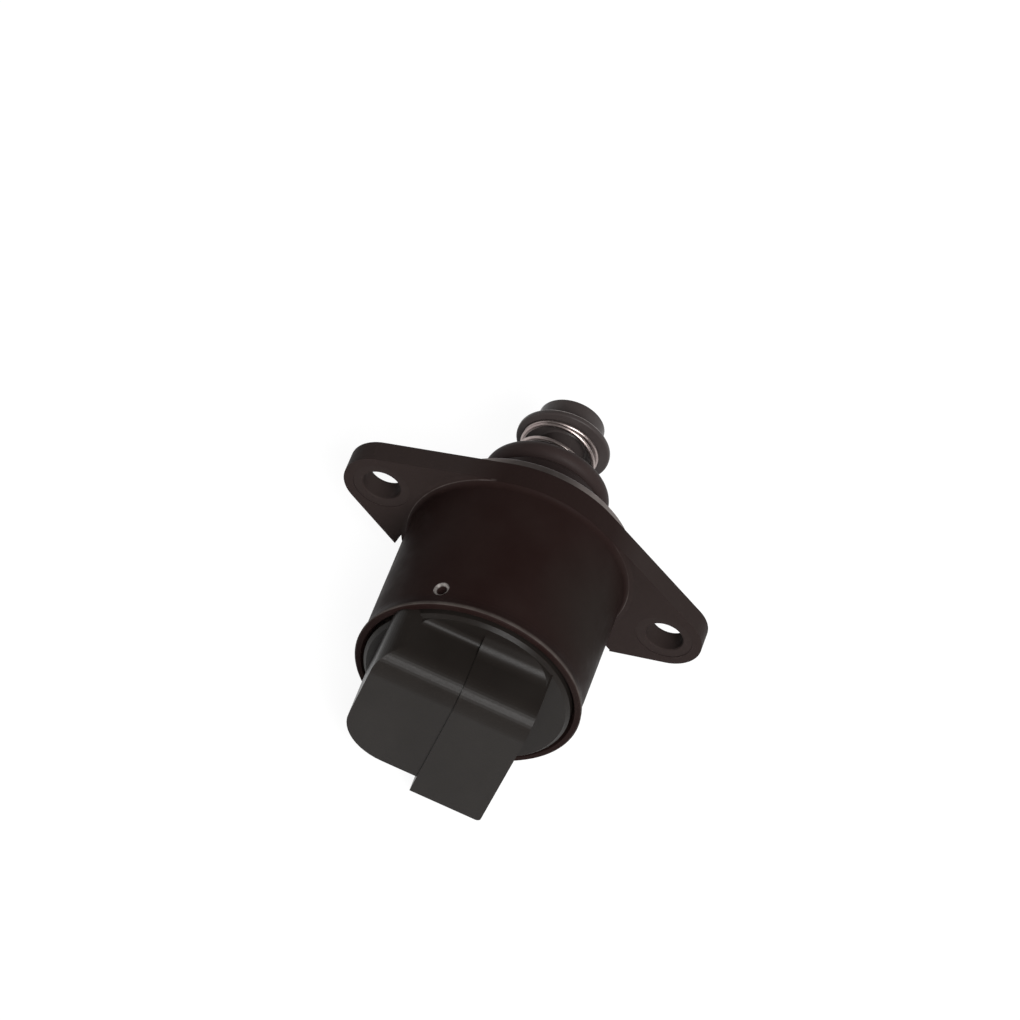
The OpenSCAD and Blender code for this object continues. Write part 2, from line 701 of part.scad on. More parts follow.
// Cap, connector base and shroud are one moulding
module end_cap() {
    color("#3a3736") difference() {
        union() {
            turned() polygon([[0, cap_front], [bore_r - fit, cap_front],
                [bore_r - fit, -can_len + stake_back + 1.3], [bore_r - 0.7, -can_len + stake_back + 1.3],
                [bore_r - 0.7, -can_len + stake_back - 1.3], [bore_r - fit, -can_len + stake_back - 1.3],
                [bore_r - fit, cap_back + cap_round], [bore_r - fit - cap_round, cap_back],
                [0, cap_back]]);
            plug_frame() {
                intersection() {
                    plate(cap_back + 1, block_d + 1) base_outline();
                    along_x(-block_end, -seam_x + 0.1)
                        block_profile(base_back, cap_back + 1, -base_low, base_top, back_r);
                }
                intersection() {
                    plate(cap_back + 1, block_d + 2) shroud_outline();
                    along_x(-seam_x, mouth_x)
                        block_profile(shroud_back, cap_back + 1, -shroud_low, block_top, back_r);
                }
                intersection() {
                    union() {
                        along_x(-block_end + head_r, -seam_x + 0.1) blend_profile(base_top, base_blend);
                        along_x(-seam_x, mouth_x - 0.3) blend_profile(block_top, shroud_blend);
                    }
                    ring(0, bore_r - fit - cap_round, cap_back - shroud_blend - 1, cap_back + 1);
                }
                // catch under the shroud, with a lead-in slope
                along_x(mouth_x - catch_in - catch_l, mouth_x - catch_in) translate([blade_y, -shroud_low])
                    polygon([[-catch_w / 2, 0.1], [catch_w / 2, 0.1], [catch_w / 2, -catch_h * 0.4],
                        [catch_w / 4, -catch_h], [-catch_w / 4, -catch_h], [-catch_w / 2, -catch_h * 0.4]]);
            }
        }
        // socket, with two key ribs left on the wall nearest the can
        plug_frame() difference() {
            along_x(socket_x, mouth_x + 1)
                block_profile(socket_back, socket_front, socket_low, socket_top, socket_r);
            for (i = [-2.2, 1.2]) translate([socket_x - 1, socket_front - key_h, blade_z + i * blade_pitch])
                cube([mouth_x - socket_x + 0.4, key_h + 1, 1.2]);
        }
        leg_slots(cap_front + 1, cap_front + 1 - blade_y + blade_t / 2 + fit);
        plug_frame() for (i = [-1.5 : 1 : 1.5])
            translate([leg_x - blade_t / 2 - fit, blade_y - blade_t / 2 - fit,
                    blade_z + i * blade_pitch - blade_w / 2 - fit])
                cube([socket_x - leg_x + blade_t, blade_t + 2 * fit, blade_w + 2 * fit]);
        // seat of the rear bush, with room behind the journal
        turned() polygon([[0, cap_front + 1], [bush_d / 2 + fit, cap_front + 1],
            [bush_d / 2 + fit, bush_back - fit], [0, bush_back - fit]]);
    }
}

// Bent blade: a leg down through the cap to the board, and a blade along the socket
module terminal(i) {
    color("#c8c3a0") plug_frame() translate([0, 0, blade_z + i * blade_pitch - blade_w / 2]) {
        translate([leg_x - blade_t / 2, blade_y - blade_t / 2, 0])
            cube([blade_t, board_front - 0.3 - blade_y + blade_t / 2, blade_w]);
        translate([leg_x - blade_t / 2, blade_y - blade_t / 2, 0])
            cube([mouth_x - blade_in - 0.5 - leg_x + blade_t / 2, blade_t, blade_w]);
        along_x(mouth_x - blade_in - 0.51, mouth_x - blade_in)
            translate([blade_y - blade_t / 4, blade_w * 0.15]) square([blade_t / 2, blade_w * 0.7]);
    }
}

module terminal_1() {
    terminal(-1.5);
}

module terminal_2() {
    terminal(-0.5);
}

module terminal_3() {
    terminal(0.5);
}

module terminal_4() {
    terminal(1.5);
}

can_housing();
front_plate();
pilot_nose();
nose_o_ring();
guide_bush();
bearing_outer_race();
bearing_inner_race();
bearing_balls();
bearing_cage();
rotor_magnet();
rotor_hub();
drive_nut();
lead_screw();
pintle();
pintle_spring();
front_pole_plate_a();
front_pole_plate_b();
rear_pole_plate_a();
rear_pole_plate_b();
front_bobbin();
rear_bobbin();
front_winding();
rear_winding();
terminal_board();
rear_bush();
thrust_washer();
end_cap();
terminal_1();
terminal_2();
terminal_3();
terminal_4();
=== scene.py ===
import math

import bmesh
import bpy
from mathutils import Matrix, Vector


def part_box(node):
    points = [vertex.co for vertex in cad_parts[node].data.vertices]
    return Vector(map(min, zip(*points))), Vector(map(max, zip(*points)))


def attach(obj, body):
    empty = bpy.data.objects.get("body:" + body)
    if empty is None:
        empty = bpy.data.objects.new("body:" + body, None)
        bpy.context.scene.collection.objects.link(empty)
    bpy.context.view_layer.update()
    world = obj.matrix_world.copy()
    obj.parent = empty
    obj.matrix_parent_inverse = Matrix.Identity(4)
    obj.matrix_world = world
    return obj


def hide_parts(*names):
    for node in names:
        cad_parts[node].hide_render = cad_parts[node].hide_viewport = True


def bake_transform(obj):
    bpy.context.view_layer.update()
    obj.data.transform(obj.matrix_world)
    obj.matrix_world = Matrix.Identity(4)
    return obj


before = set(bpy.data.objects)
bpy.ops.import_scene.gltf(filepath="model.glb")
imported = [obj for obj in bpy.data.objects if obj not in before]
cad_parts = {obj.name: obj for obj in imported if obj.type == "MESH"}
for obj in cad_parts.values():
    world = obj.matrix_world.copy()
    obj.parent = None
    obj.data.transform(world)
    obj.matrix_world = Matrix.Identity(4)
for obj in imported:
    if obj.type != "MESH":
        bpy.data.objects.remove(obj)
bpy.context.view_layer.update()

scene = bpy.context.scene
scene.view_settings.view_transform = "Standard"


# Camera: the valve is seen from behind and above, a little from the short ear's side, with its
# axis leaning to the upper right of the picture. The lens is long, so perspective is slight.
mm = 0.001
camera_place = Vector((-96.925, -430.381, 543.510)) * mm
camera_aim = Vector((-3.888, 2.709, 1.497)) * mm
camera_up = Vector((-0.46819, 0.72777, 0.50115))
camera_data = bpy.data.cameras.new("camera")
camera_data.sensor_width = 36
camera_data.lens = 174.43
camera = bpy.data.objects.new("camera", camera_data)
scene.collection.objects.link(camera)
camera_back = (camera_place - camera_aim).normalized()
camera_right = camera_up.cross(camera_back).normalized()
camera_turn = Matrix((camera_right, camera_back.cross(camera_right), camera_back)).transposed()
camera.matrix_world = Matrix.Translation(camera_place) @ camera_turn.to_4x4()
scene.camera = camera


# Can and flange: one drawn and machined steel piece under a thin black coat, a little rough on the
# flange. Three stakes are punched into the wall near the rolled rim. The coat is gone from their
# craters. A painted highlight runs along the rim's edge and round the can's foot on the flange's back, and
# a painted reflection lightens the can's upper right side.
can_radius = 16.0 * mm
can_length = 26.9 * mm
rim_radius = can_radius + 0.42 * mm
rim_end = -can_length + 0.9 * mm
flange_back = -3.3 * mm
foot_radius = 16.4 * mm
foot_highlight_width = 0.32 * mm
stake_from_rim = 3.3 * mm
stake_turns = [math.radians(-40.7 + 120 * i) for i in range(3)]
crater_depth = 0.6 * mm
crater_radius = 1.18 * mm
crater_floor_radius = 0.92 * mm


def start_material(name, roughness, metallic, specular):
    material = bpy.data.materials.new(name)
    material.use_nodes = True
    shader = material.node_tree.nodes["Principled BSDF"]
    shader.inputs["Roughness"].default_value = roughness
    shader.inputs["Metallic"].default_value = metallic
    shader.inputs["Specular IOR Level"].default_value = specular
    return material, shader


def add_node(material, kind, **settings):
    node = material.node_tree.nodes.new(kind)
    for name, value in settings.items():
        setattr(node, name, value)
    return node


def feed(material, given, socket):
    """Links a node's output to the socket, or sets a plain colour or number on it."""
    if isinstance(given, bpy.types.NodeSocket):
        material.node_tree.links.new(given, socket)
    elif isinstance(given, tuple) and socket.type == "RGBA":
        socket.default_value = (*given, 1)
    else:
        socket.default_value = given


def place_in_piece(material):
    return add_node(material, "ShaderNodeTexCoord").outputs["Object"]


def calculate(material, operation, first, second=0.0):
    node = add_node(material, "ShaderNodeMath", operation=operation)
    feed(material, first, node.inputs[0])
    feed(material, second, node.inputs[1])
    return node.outputs[0]


def vector_step(material, operation, first, second, output="Vector"):
    node = add_node(material, "ShaderNodeVectorMath", operation=operation)
    feed(material, first, node.inputs[0])
    feed(material, second, node.inputs[1])
    return node.outputs[output]


def cloud(material, grain_size, detail=3.0, stretch=(1.0, 1.0, 1.0)):
    """Soft random pattern, with grains of the given size, stretched where a number is below 1."""
    noise_node = add_node(material, "ShaderNodeTexNoise")
    noise_node.inputs["Scale"].default_value = 1.0 / grain_size
    noise_node.inputs["Detail"].default_value = detail
    where = vector_step(material, "MULTIPLY", place_in_piece(material), stretch)
    feed(material, where, noise_node.inputs["Vector"])
    return noise_node.outputs["Fac"]


def spread(material, value, low, high, from_low=0.3, from_high=0.7):
    node = add_node(material, "ShaderNodeMapRange")
    node.inputs["From Min"].default_value = from_low
    node.inputs["From Max"].default_value = from_high
    node.inputs["To Min"].default_value = low
    node.inputs["To Max"].default_value = high
    feed(material, value, node.inputs["Value"])
    return node.outputs["Result"]


def choose(material, mask, first, second):
    """Goes from the first colour or number, where the mask is 0, to the second."""
    number = isinstance(first, float)
    node = add_node(material, "ShaderNodeMix", data_type="FLOAT" if number else "RGBA")
    feed(material, mask, node.inputs[0])
    feed(material, first, node.inputs[2 if number else 6])
    feed(material, second, node.inputs[3 if number else 7])
    return node.outputs[0 if number else 2]


def height_along_axis(material):
    split = add_node(material, "ShaderNodeSeparateXYZ")
    feed(material, place_in_piece(material), split.inputs[0])
    return split.outputs["Y"]


def distance_from_axis(material):
    across = vector_step(material, "MULTIPLY", place_in_piece(material), (1.0, 0.0, 1.0))
    return vector_step(material, "LENGTH", across, (0.0, 0.0, 0.0), "Value")


def near_point(material, point, inner, outer):
    apart = vector_step(material, "DISTANCE", place_in_piece(material), tuple(point), "Value")
    return spread(material, apart, 1.0, 0.0, inner, outer)


def relief(material, shader, height, depth, strength=1.0):
    node = add_node(material, "ShaderNodeBump")
    node.inputs["Strength"].default_value = strength
    node.inputs["Distance"].default_value = depth
    feed(material, height, node.inputs["Height"])
    feed(material, node.outputs["Normal"], shader.inputs["Normal"])


def dress(node_name, material, edge=0.0, steps=2):
    """Gives a CAD piece its finish and, where edge is set, rounded edges of that radius."""
    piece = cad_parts[node_name]
    piece.data.materials.clear()
    piece.data.materials.append(material)
    if edge:
        flat = piece.modifiers.new("flat_faces", "DECIMATE")
        flat.decimate_type = "DISSOLVE"
        flat.angle_limit = math.radians(0.4)
        rounded = piece.modifiers.new("rounded_edges", "BEVEL")
        rounded.width = edge
        rounded.segments = steps
        rounded.limit_method = "ANGLE"
        rounded.angle_limit = math.radians(35)
        rounded.use_clamp_overlap = False
        rounded.harden_normals = True


black_coat, coat = start_material("black_coat", 0.42, 0.0, 0.012)
from_axis = distance_from_axis(black_coat)
along_axis = height_along_axis(black_coat)
coat_colour = choose(black_coat, spread(black_coat, cloud(black_coat, 7 * mm), 0.0, 1.0),
                     (0.0148, 0.0077, 0.0069), (0.0185, 0.0110, 0.0099))
# painted reflection: the coat turns greyer and lighter towards the can's upper right side
painted_reflection_side = near_point(black_coat, (13 * mm, -16 * mm, 11 * mm), 4 * mm, 14 * mm)
coat_colour = choose(black_coat, painted_reflection_side, coat_colour, (0.0176, 0.0131, 0.0115))

on_flange = spread(black_coat, along_axis, 0.0, 1.0, flange_back - 0.9 * mm, flange_back + 0.1 * mm)
flange_colour = choose(black_coat, on_flange, coat_colour, (0.0290, 0.0215, 0.0200))
for side in (1, -1):
    beside_can = near_point(black_coat, (0, flange_back, side * foot_radius), 9.0 * mm, 15.0 * mm)
    flange_colour = choose(black_coat, beside_can, flange_colour, (0.0185, 0.0114, 0.0104))
coat_colour = choose(black_coat, on_flange, coat_colour, flange_colour)

# painted highlight: a light line along the rolled rim's outer edge, broken up by a cloud
rim_highlight = calculate(black_coat, "MULTIPLY",
                     spread(black_coat, from_axis, 0.0, 1.0, rim_radius - 0.1 * mm, rim_radius),
                     spread(black_coat, along_axis, 1.0, 0.0, rim_end - 0.4 * mm, rim_end))
rim_highlight = calculate(black_coat, "MULTIPLY", rim_highlight,
                     spread(black_coat, cloud(black_coat, 3 * mm), 0.45, 1.0))
coat_colour = choose(black_coat, rim_highlight, coat_colour, (0.080, 0.068, 0.062))

# painted highlight: a light line along the can's foot on the flange's back face, on the ears' sides only,
# broken up by a cloud
foot_inside = foot_radius - foot_highlight_width / 2
foot_outside = foot_radius + foot_highlight_width / 2
foot_highlight = calculate(black_coat, "MULTIPLY",
                      spread(black_coat, from_axis, 0.0, 1.0, foot_inside, foot_inside + 0.12 * mm),
                      spread(black_coat, from_axis, 1.0, 0.0, foot_outside - 0.12 * mm, foot_outside))
on_back_face = calculate(black_coat, "MULTIPLY",
                         spread(black_coat, along_axis, 0.0, 1.0,
                                flange_back - 0.30 * mm, flange_back - 0.20 * mm),
                         spread(black_coat, along_axis, 1.0, 0.0,
                                flange_back + 0.02 * mm, flange_back + 0.05 * mm))
foot_highlight = calculate(black_coat, "MULTIPLY", foot_highlight, on_back_face)
for side in (1, -1):
    beside_can = near_point(black_coat, (0, flange_back, side * foot_radius), 9.6 * mm, 11.0 * mm)
    on_ears = calculate(black_coat, "SUBTRACT", 1.0, beside_can)
    foot_highlight = calculate(black_coat, "MULTIPLY", foot_highlight, on_ears)
foot_highlight = calculate(black_coat, "MULTIPLY", foot_highlight,
                      spread(black_coat, cloud(black_coat, 5 * mm), 0.1, 1.0, 0.38, 0.62))
coat_colour = choose(black_coat, foot_highlight, coat_colour, (0.150, 0.130, 0.122))

bare_metal = 0.0
for turn in stake_turns:
    outward = Vector((math.sin(turn), 0, math.cos(turn)))
    mouth = outward * can_radius + Vector((0, stake_from_rim - can_length, 0))
    floor = mouth - outward * crater_depth
    crater = near_point(black_coat, mouth, crater_radius - 0.14 * mm, crater_radius)
    dark_floor = near_point(black_coat, floor, crater_floor_radius - 0.18 * mm, crater_floor_radius)
    crater_wall = calculate(black_coat, "MULTIPLY", crater,
                            calculate(black_coat, "SUBTRACT", 1.0, dark_floor))
    bare_metal = calculate(black_coat, "MAXIMUM", bare_metal, crater_wall)
scraped = spread(black_coat, cloud(black_coat, 0.5 * mm), 0.35, 1.0, 0.35, 0.6)
bare_metal = calculate(black_coat, "MULTIPLY", bare_metal, scraped)
coat_colour = choose(black_coat, bare_metal, coat_colour, (0.40, 0.37, 0.35))

feed(black_coat, coat_colour, coat.inputs["Base Color"])
feed(black_coat, calculate(black_coat, "MULTIPLY", bare_metal, 0.9), coat.inputs["Metallic"])
feed(black_coat, spread(black_coat, cloud(black_coat, 2.5 * mm), 0.38, 0.50), coat.inputs["Roughness"])
fine_skin = calculate(black_coat, "MULTIPLY", cloud(black_coat, 0.4 * mm, 2.0), 0.25)
flange_skin = calculate(black_coat, "MULTIPLY", cloud(black_coat, 0.9 * mm, 4.0), on_flange)
relief(black_coat, coat, calculate(black_coat, "ADD", fine_skin, flange_skin), 0.05 * mm, 0.55)
dress("can_housing", black_coat, 0.22 * mm, 3)


# Pole plates: four claw plates pressed from soft iron sheet, two for each phase. Their claws are
# bent round the magnet. The press leaves fine lines that run along the bent claws.
def add_steel(name, dark, light, roughness, grain, stretch=(1.0, 1.0, 1.0), depth=0.01 * mm):
    """Bare metal with a colour that varies a little, and fine lines or grains left by its making."""
    material, shader = start_material(name, roughness, 1.0, 0.5)
    tone = spread(material, cloud(material, 4 * mm), 0.0, 1.0)
    feed(material, choose(material, tone, dark, light), shader.inputs["Base Color"])
    lines = cloud(material, grain, 3.0, stretch)
    feed(material, spread(material, lines, roughness * 0.8, roughness * 1.25), shader.inputs["Roughness"])
    relief(material, shader, lines, depth, 0.5)
    return material


soft_iron = add_steel("soft_iron", (0.30, 0.30, 0.30), (0.42, 0.41, 0.39), 0.38, 0.12 * mm,
                      (1.0, 0.08, 1.0))
for name in ("front_pole_plate_a", "front_pole_plate_b", "rear_pole_plate_a", "rear_pole_plate_b"):
    dress(name, soft_iron, 0.06 * mm, 2)


# Bobbins: two spools moulded in natural plastic, one for each winding. They show the soft,
# slightly clear skin of the mould, with faint flow marks.
def add_plastic(name, dark, light, roughness, grain, depth, specular=0.35):
    """Moulded plastic: colour with faint flow marks, and the fine skin of its mould."""
    material, shader = start_material(name, roughness, 0.0, specular)
    flow = spread(material, cloud(material, 9 * mm, 4.0, (1.0, 0.4, 1.0)), 0.0, 1.0)
    feed(material, choose(material, flow, dark, light), shader.inputs["Base Color"])
    skin_grain = cloud(material, grain, 2.0)
    uneven_gloss = spread(material, skin_grain, roughness * 0.85, roughness * 1.15)
    feed(material, uneven_gloss, shader.inputs["Roughness"])
    relief(material, shader, skin_grain, depth, 0.6)
    return material


natural_plastic = add_plastic("natural_plastic", (0.66, 0.60, 0.47), (0.74, 0.69, 0.57),
                              0.42, 0.3 * mm, 0.008 * mm)
for name in ("front_bobbin", "rear_bobbin"):
    dress(name, natural_plastic, 0.05 * mm, 2)


# Windings: enamelled copper wire wound on each bobbin, laid side by side, turn against turn. Their
# ends lead to the terminal board.
wire_step = 0.24 * mm


def add_ridges(material, step, kind="BANDS"):
    """Even ridges along the valve's axis, or rings round it, a step apart."""
    wave = add_node(material, "ShaderNodeTexWave", wave_type=kind, wave_profile="SIN")
    if kind == "BANDS":
        wave.bands_direction = "Y"
    else:
        wave.rings_direction = "Y"
    wave.inputs["Scale"].default_value = 0.1 * math.pi / step
    feed(material, place_in_piece(material), wave.inputs["Vector"])
    return wave.outputs["Fac"]


enamelled_wire, enamel = start_material("enamelled_wire", 0.24, 1.0, 0.5)
laid = add_ridges(enamelled_wire, wire_step)
wire_tone = choose(enamelled_wire, spread(enamelled_wire, cloud(enamelled_wire, 1.5 * mm), 0.0, 1.0),
                   (0.62, 0.22, 0.07), (0.78, 0.34, 0.13))
# painted shade: the grooves between the turns are coloured dark
shaded_wire_colour = choose(enamelled_wire, laid, (0.20, 0.06, 0.02), wire_tone)
feed(enamelled_wire, shaded_wire_colour, enamel.inputs["Base Color"])
relief(enamelled_wire, enamel, laid, 0.1 * mm)
for name in ("front_winding", "rear_winding"):
    dress(name, enamelled_wire, 0.08 * mm, 2)


# Rotor magnet: a ring of sintered ferrite, ground outside. Its skin is dull and finely grained,
# with a few small pits where the grinding wheel broke grains out.
ferrite, ground_ferrite = start_material("ferrite", 0.6, 0.0, 0.4)
pits = add_node(ferrite, "ShaderNodeTexVoronoi")
pits.inputs["Scale"].default_value = 1.0 / (0.5 * mm)
feed(ferrite, place_in_piece(ferrite), pits.inputs["Vector"])
pitted = spread(ferrite, pits.outputs["Distance"], 0.0, 1.0, 0.05, 0.3)
feed(ferrite, choose(ferrite, pitted, (0.016, 0.016, 0.018), (0.042, 0.042, 0.048)),
     ground_ferrite.inputs["Base Color"])
feed(ferrite, spread(ferrite, cloud(ferrite, 0.2 * mm), 0.5, 0.7), ground_ferrite.inputs["Roughness"])
relief(ferrite, ground_ferrite, pitted, 0.03 * mm, 0.5)
dress("rotor_magnet", ferrite)


# Rotor hub: moulded round the nut and inside the magnet, with a journal at each end.
hub_plastic = add_plastic("hub_plastic", (0.60, 0.55, 0.44), (0.70, 0.65, 0.54), 0.36, 0.25 * mm,
                          0.006 * mm)
dress("rotor_hub", hub_plastic, 0.06 * mm, 2)


# Drive nut: turned brass with a right-hand thread of 1 mm pitch, moulded into the hub. As it
# turns, it drives the screw along the axis.
thread_pitch = 1.0 * mm
thread_crest = 2.5 * mm
thread_root = 2.06 * mm
flank_slope = 5.0
flank_start = 0.75
thread_play = 0.06 * mm
nut_radius = 3.8 * mm
nut_span = (-10.48 * mm, -3.52 * mm)
round_steps = 60


def thread_radius(turn, height, root, crest):
    """Radius of the screw's surface: flat root and crest with sloping flanks between them."""
    phase = (height / thread_pitch - turn / (2 * math.pi)) % 1.0
    rise = min(1.0, max(0.0, (0.5 - abs(phase - 0.5)) * flank_slope - flank_start))
    return root + (crest - root) * rise


def add_rings(bm, stations):
    """Skins a closed stack of rings, each given as a height and a radius for every angle."""
    rings = []
    for height, radii in stations:
        rings.append([bm.verts.new((r * math.sin(2 * math.pi * k / len(radii)), height,
                                    r * math.cos(2 * math.pi * k / len(radii))))
                      for k, r in enumerate(radii)])
    for low, high in zip(rings, rings[1:]):
        for k in range(len(low)):
            after = (k + 1) % len(low)
            bm.faces.new((low[k], high[k], high[after], low[after]))
    return rings


def finish_mesh(name, bm, material, sharp=30):
    bmesh.ops.recalc_face_normals(bm, faces=bm.faces)
    mesh = bpy.data.meshes.new(name)
    for face in bm.faces:
        face.smooth = True
    bm.to_mesh(mesh)
    bm.free()
    mesh.set_sharp_from_angle(angle=math.radians(sharp))
    mesh.materials.append(material)
    piece = bpy.data.objects.new(name, mesh)
    scene.collection.objects.link(piece)
    return piece


turned_brass = add_steel("turned_brass", (0.62, 0.43, 0.15), (0.72, 0.53, 0.22), 0.26, 0.08 * mm,
                         (0.15, 1.0, 0.15))
angles = [2 * math.pi * k / round_steps for k in range(round_steps)]
nut_steps = 96
nut_mesh = bmesh.new()
bore = []
for i in range(nut_steps + 1):
    height = nut_span[0] + (nut_span[1] - nut_span[0]) * i / nut_steps
    bore.append((height, [thread_radius(a, height, thread_root, thread_crest) + thread_play
                          for a in angles]))
lead_in = 0.3 * mm
shell = [bore[0], (nut_span[0], [nut_radius - lead_in] * round_steps),
         (nut_span[0] + lead_in, [nut_radius] * round_steps),
         (nut_span[1] - lead_in, [nut_radius] * round_steps),
         (nut_span[1], [nut_radius - lead_in] * round_steps), bore[-1]]
add_rings(nut_mesh, bore)
add_rings(nut_mesh, shell)
bmesh.ops.remove_doubles(nut_mesh, verts=nut_mesh.verts, dist=0.001 * mm)
threaded_nut = finish_mesh("threaded_nut", nut_mesh, turned_brass)
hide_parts("drive_nut")
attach(threaded_nut, "rotor")


# Front ball bearing: polished rings and balls of bearing steel, and a pressed brass cage that
# spaces nine balls.
bearing_steel = add_steel("bearing_steel", (0.60, 0.61, 0.62), (0.68, 0.69, 0.70), 0.14, 0.05 * mm,
                          (0.1, 1.0, 0.1), 0.003 * mm)
for name in ("bearing_outer_race", "bearing_inner_race"):
    dress(name, bearing_steel, 0.08 * mm, 2)
ball_steel, ball = start_material("ball_steel", 0.07, 1.0, 0.5)
feed(ball_steel, choose(ball_steel, spread(ball_steel, cloud(ball_steel, 1 * mm), 0.0, 1.0),
                        (0.66, 0.67, 0.68), (0.72, 0.73, 0.74)), ball.inputs["Base Color"])
dress("bearing_balls", ball_steel)
pressed_brass = add_steel("pressed_brass", (0.55, 0.38, 0.13), (0.66, 0.48, 0.19), 0.32, 0.2 * mm)
dress("bearing_cage", pressed_brass)


# Front plate: a plated steel disc that closes the can and carries the nose. It was turned, so
# fine rings run round it. Its edge is darker, and on one side it carries a patch of painted shade as dark
# as the can's coat.
plate_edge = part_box("front_plate")[1][0]
plate_steel, plate = start_material("plate_steel", 0.42, 1.0, 0.5)
plate_tone = spread(plate_steel, cloud(plate_steel, 5 * mm), 0.0, 1.0)
plate_colour = choose(plate_steel, plate_tone, (0.26, 0.24, 0.23), (0.34, 0.32, 0.31))
# the plate's edge is darker than its face
darker_edge = spread(plate_steel, distance_from_axis(plate_steel), 0.0, 1.0,
                      plate_edge - 0.30 * mm, plate_edge - 0.10 * mm)
plate_colour = choose(plate_steel, darker_edge, plate_colour, (0.190, 0.165, 0.156))
# painted shade: a coat-dark patch on the plate's edge, on the right beside the can's lip
painted_shade_patch = near_point(plate_steel, (13.4 * mm, 0.9 * mm, 8.6 * mm), 2.5 * mm, 5.5 * mm)
painted_shade_patch = calculate(plate_steel, "MULTIPLY", painted_shade_patch, darker_edge)
plate_colour = choose(plate_steel, painted_shade_patch, plate_colour, (0.028, 0.018, 0.016))
feed(plate_steel, plate_colour, plate.inputs["Base Color"])
feed(plate_steel, spread(plate_steel, cloud(plate_steel, 1.2 * mm), 0.34, 0.48), plate.inputs["Roughness"])
plate_rings = calculate(plate_steel, "ADD", add_ridges(plate_steel, 0.16 * mm, "RINGS"),
                        add_ridges(plate_steel, 0.13 * mm))
relief(plate_steel, plate, plate_rings, 0.004 * mm, 0.5)
dress("front_plate", plate_steel, 0.12 * mm, 2)


# Nose: a dark, glass-filled moulding that holds the front bearing and the guide bush. It is
# seated on the front plate and fits the throttle body.
nose_plastic = add_plastic("nose_plastic", (0.0224, 0.0150, 0.0142), (0.0262, 0.0185, 0.0176),
                           0.40, 0.3 * mm, 0.012 * mm, 0.08)
dress("pilot_nose", nose_plastic, 0.15 * mm, 3)


# O-ring: dark rubber, moulded in one piece, with a satin skin. It is stretched into the nose's
# groove and seals the nose in the throttle body.
seal_rubber = add_plastic("seal_rubber", (0.0304, 0.0204, 0.0192), (0.0352, 0.0248, 0.0236),
                          0.52, 0.15 * mm, 0.010 * mm, 0.08)
dress("nose_o_ring", seal_rubber)


# Guide bush: moulded in natural plastic and pressed into the nose. Its two-flat hole lets the
# screw slide and keeps it from turning.
guide_plastic = add_plastic("guide_plastic", (0.58, 0.54, 0.42), (0.66, 0.62, 0.50), 0.34,
                            0.3 * mm, 0.006 * mm)
dress("guide_bush", guide_plastic, 0.08 * mm, 2)


# Lead screw: rolled steel with a right-hand thread behind, two flats in the middle where it
# slides in the guide bush, and a round end that is pressed into the pintle.
screw_end = -13.0 * mm
thread_end = -1.5 * mm
flats_end = 14.8 * mm
screw_tip = 20.0 * mm
half_flats = 2.0 * mm
press_radius = 1.9 * mm
chamfer = 0.45 * mm
end_core = 0.1 * mm
screw_steel = add_steel("screw_steel", (0.44, 0.43, 0.42), (0.56, 0.55, 0.54), 0.28, 0.1 * mm,
                        (1.0, 0.12, 1.0))


def flats_radius(angle):
    across = abs(math.sin(angle))
    return thread_crest if across < half_flats / thread_crest else half_flats / across


stations = [(screw_end, [end_core] * round_steps)]
thread_steps = 160
for i in range(thread_steps + 1):
    height = screw_end + (thread_end - screw_end) * i / thread_steps
    limit = thread_crest - chamfer + min(chamfer, height - screw_end)
    stations.append((height, [min(limit, thread_radius(a, height, thread_root, thread_crest))
                              for a in angles]))
stations.append((thread_end, [flats_radius(a) for a in angles]))
stations.append((flats_end, [flats_radius(a) for a in angles]))
stations.append((flats_end, [press_radius] * round_steps))
stations.append((screw_tip - lead_in, [press_radius] * round_steps))
stations.append((screw_tip, [press_radius - lead_in] * round_steps))
stations.append((screw_tip, [end_core] * round_steps))
screw_mesh = bmesh.new()
screw_rings = add_rings(screw_mesh, stations)
screw_mesh.faces.new(screw_rings[0])
screw_mesh.faces.new(screw_rings[-1])
threaded_screw = finish_mesh("threaded_screw", screw_mesh, screw_steel)
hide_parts("lead_screw")
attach(threaded_screw, "pintle_slider")


# Pintle spring: a coil of bare spring wire with closed ends. It stands on the nose and pushes the
# collar out, so it shortens as the pintle draws in. Its open turns lean a little to one side, and
# it sits slightly off the axis, because only the boss inside it keeps it in place.
wire = 0.66 * mm
coil_radius = 5.5 * mm
coil_aside = -0.25 * mm
nose_face = 12.6 * mm
collar_back = 18.6 * mm
closed_pitch = 0.5 * mm
closed_behind = 0.75
open_turns = 1.31
closed_before = 1.2
coil_turns = closed_behind + open_turns + closed_before
coil_lean = 0.6 * mm
wire_end_turn = math.radians(-92)
end_taper = 0.82
steps_per_turn = 56
wire_sides = 14
clearance = 0.03 * mm
coil_low = nose_face + wire / 2 + clearance
coil_high = collar_back - wire / 2 - clearance
open_pitch = (coil_high - coil_low - closed_pitch * (closed_behind + closed_before)) / open_turns


def coil_height(turned):
    """Height of the wire's centre, so many turns in front of its end at the nose."""
    behind = min(turned, closed_behind)
    opened = min(max(turned - closed_behind, 0.0), open_turns)
    before = max(turned - closed_behind - open_turns, 0.0)
    return coil_low + closed_pitch * (behind + before) + open_pitch * opened


def smooth_coil_height(turned):
    """The same height, averaged over a tenth of a turn each way, so the wire bends softly."""
    near = [min(coil_turns, max(0.0, turned + 0.02 * j)) for j in range(-5, 6)]
    return sum(coil_height(place) for place in near) / len(near)


def open_part(turned):
    """1 along the open turns, which lean, and 0 at the closed ends."""
    return min(1.0, max(0.0, (turned - 0.55) / 0.4)) * min(1.0, max(0.0, (2.2 - turned) / 0.4))


